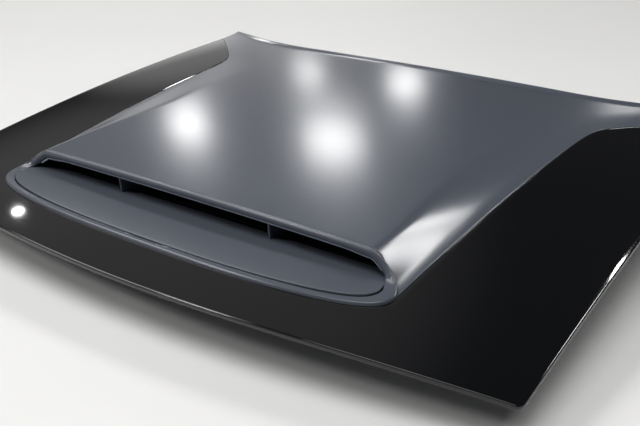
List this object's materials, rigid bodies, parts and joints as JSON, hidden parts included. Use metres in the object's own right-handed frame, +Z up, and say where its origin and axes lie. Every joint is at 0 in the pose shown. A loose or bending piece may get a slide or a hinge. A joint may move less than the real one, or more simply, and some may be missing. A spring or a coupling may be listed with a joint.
{
  "type": "car hood with air scoop",
  "caption": "Two-tone steel-hinged car hood with a wide raised air scoop, duct, inner frame, gas struts and latch striker.",
  "frame": {"origin": "middle of the left hinge foot's bolting face", "axes": "+X towards the car's left, +Y towards its rear, +Z up, with the hood closed"},
  "size_m": [1.4508, 1.2293, 0.1757],
  "materials": {
    "gloss_paint": "deep gloss black paint under clear coat",
    "satin_paint": "satin gunmetal grey",
    "satin_trim": "satin silver grey",
    "insert_plastic": "fine grained satin dark grey",
    "duct_plastic": "matt black moulded",
    "seal_rubber": "matt black",
    "inner_paint": "thin satin black paint",
    "pad_felt": "pressed dark felt",
    "hinge_paint": "dark electrocoat",
    "plated_steel": "zinc plated",
    "strut_paint": "semi-gloss black",
    "rod_chrome": "polished"
  },
  "bodies": {
    "hinge_feet": {"hinge_foot_left": "hinge_paint", "hinge_foot_right": "hinge_paint", "hinge_pin_left": "plated_steel", "hinge_pin_right": "plated_steel", "strut_foot_stud_left": "plated_steel", "strut_foot_stud_right": "plated_steel"},
    "hood": {"outer_panel": "gloss_paint", "scoop_panel": "satin_paint", "scoop_surround": "satin_paint", "scoop_insert": "insert_plastic", "mouth_trim": "satin_trim", "scoop_vane_left": "duct_plastic", "scoop_vane_right": "duct_plastic", "intake_duct": "duct_plastic", "outlet_seal": "seal_rubber", "inner_frame": "inner_paint", "insulation_pad": "pad_felt", "latch_striker": "plated_steel", "rear_seal": "seal_rubber", "hood_stop_left": "seal_rubber", "hood_stop_right": "seal_rubber", "hinge_arm_left": "hinge_paint", "hinge_arm_right": "hinge_paint", "strut_head_bracket_left": "plated_steel", "strut_head_bracket_right": "plated_steel"},
    "strut_tube_left": {"strut_cylinder_left": "strut_paint"},
    "strut_rod_left": {"strut_rod_left": "rod_chrome"},
    "strut_tube_right": {"strut_cylinder_right": "strut_paint"},
    "strut_rod_right": {"strut_rod_right": "rod_chrome"}
  },
  "joints": [
    {"name": "hood_hinge", "type": "hinge", "parent": "hinge_feet", "child": "hood", "pos_m": [-0.632, 0.045, 0.07], "axis": [-1, 0, 0], "range_deg": [0, 52]},
    {"name": "strut_swing_left", "type": "hinge", "parent": "hinge_feet", "child": "strut_tube_left", "pos_m": [-0.066, -0.03, 0.025], "axis": [-1, 0, 0], "range_deg": [0, 56]},
    {"name": "strut_stroke_left", "type": "slide", "parent": "strut_tube_left", "child": "strut_rod_left", "axis": [0, -0.9889, 0.1483], "range_m": [0, 0.0715]},
    {"name": "strut_swing_right", "type": "hinge", "parent": "hinge_feet", "child": "strut_tube_right", "pos_m": [-1.198, -0.03, 0.025], "axis": [-1, 0, 0], "range_deg": [0, 56]},
    {"name": "strut_stroke_right", "type": "slide", "parent": "strut_tube_right", "child": "strut_rod_right", "axis": [0, -0.9889, 0.1483], "range_m": [0, 0.0715]}
  ],
  "couplings": [
    {"joint": "strut_swing_left", "follows": "hood_hinge", "ratio": 1.0738},
    {"joint": "strut_stroke_left", "follows": "hood_hinge", "m_per_rad": 0.078056},
    {"joint": "strut_swing_right", "follows": "hood_hinge", "ratio": 1.0738},
    {"joint": "strut_stroke_right", "follows": "hood_hinge", "m_per_rad": 0.078056}
  ]
}
